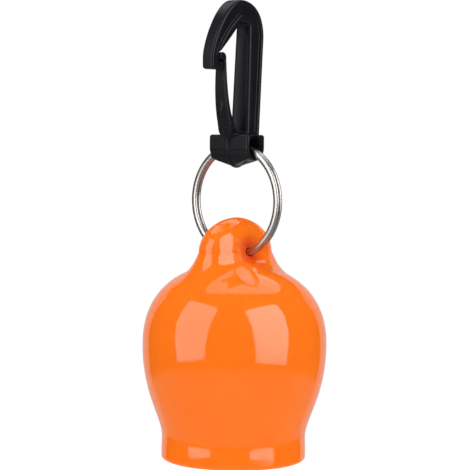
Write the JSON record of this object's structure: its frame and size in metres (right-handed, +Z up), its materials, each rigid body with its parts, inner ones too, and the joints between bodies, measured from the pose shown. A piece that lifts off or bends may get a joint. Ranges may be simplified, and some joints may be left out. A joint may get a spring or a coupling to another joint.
{
  "type": "mouthpiece cover with snap clip",
  "caption": "Soft moulded hollow cover with an open mouth, hung by its lug on a split ring and a moulded snap clip with a springy gate.",
  "frame": {"origin": "middle of the flat seat under the hook's crown, where the clip hangs on a strap or bar", "axes": "+Z up along the hanging part, +X from the gate to the hook's column, +Y along the eye's bore"},
  "size_m": [0.0484, 0.0484, 0.1201],
  "materials": {
    "clip_nylon": "moulded nylon, satin black",
    "gate_nylon": "moulded nylon, satin black",
    "ring_steel": "bright rolled flat wire",
    "cover_silicone": "glossy orange soft moulding"
  },
  "bodies": {
    "clip": {"clip_body": "clip_nylon"},
    "gate": {"clip_gate": "gate_nylon"},
    "ring": {"split_ring": "ring_steel"},
    "cover": {"mouthpiece_cover": "cover_silicone"}
  },
  "joints": [
    {"name": "gate_hinge", "type": "hinge", "parent": "clip", "child": "gate", "pos_m": [-0.00435, 0, -0.0264], "axis": [0, 1, 0], "range_deg": [0, 24], "stiffness_Nm_per_rad": 0.1, "springref_deg": -1.15},
    {"name": "ring_swing", "type": "hinge", "parent": "clip", "child": "ring", "pos_m": [0, 0, -0.0321], "axis": [0, 1, 0], "range_deg": [-120, 120]},
    {"name": "cover_swing", "type": "hinge", "parent": "ring", "child": "cover", "pos_m": [0, 0, -0.04628], "axis": [1, 0, 0], "range_deg": [-110, 110]}
  ]
}
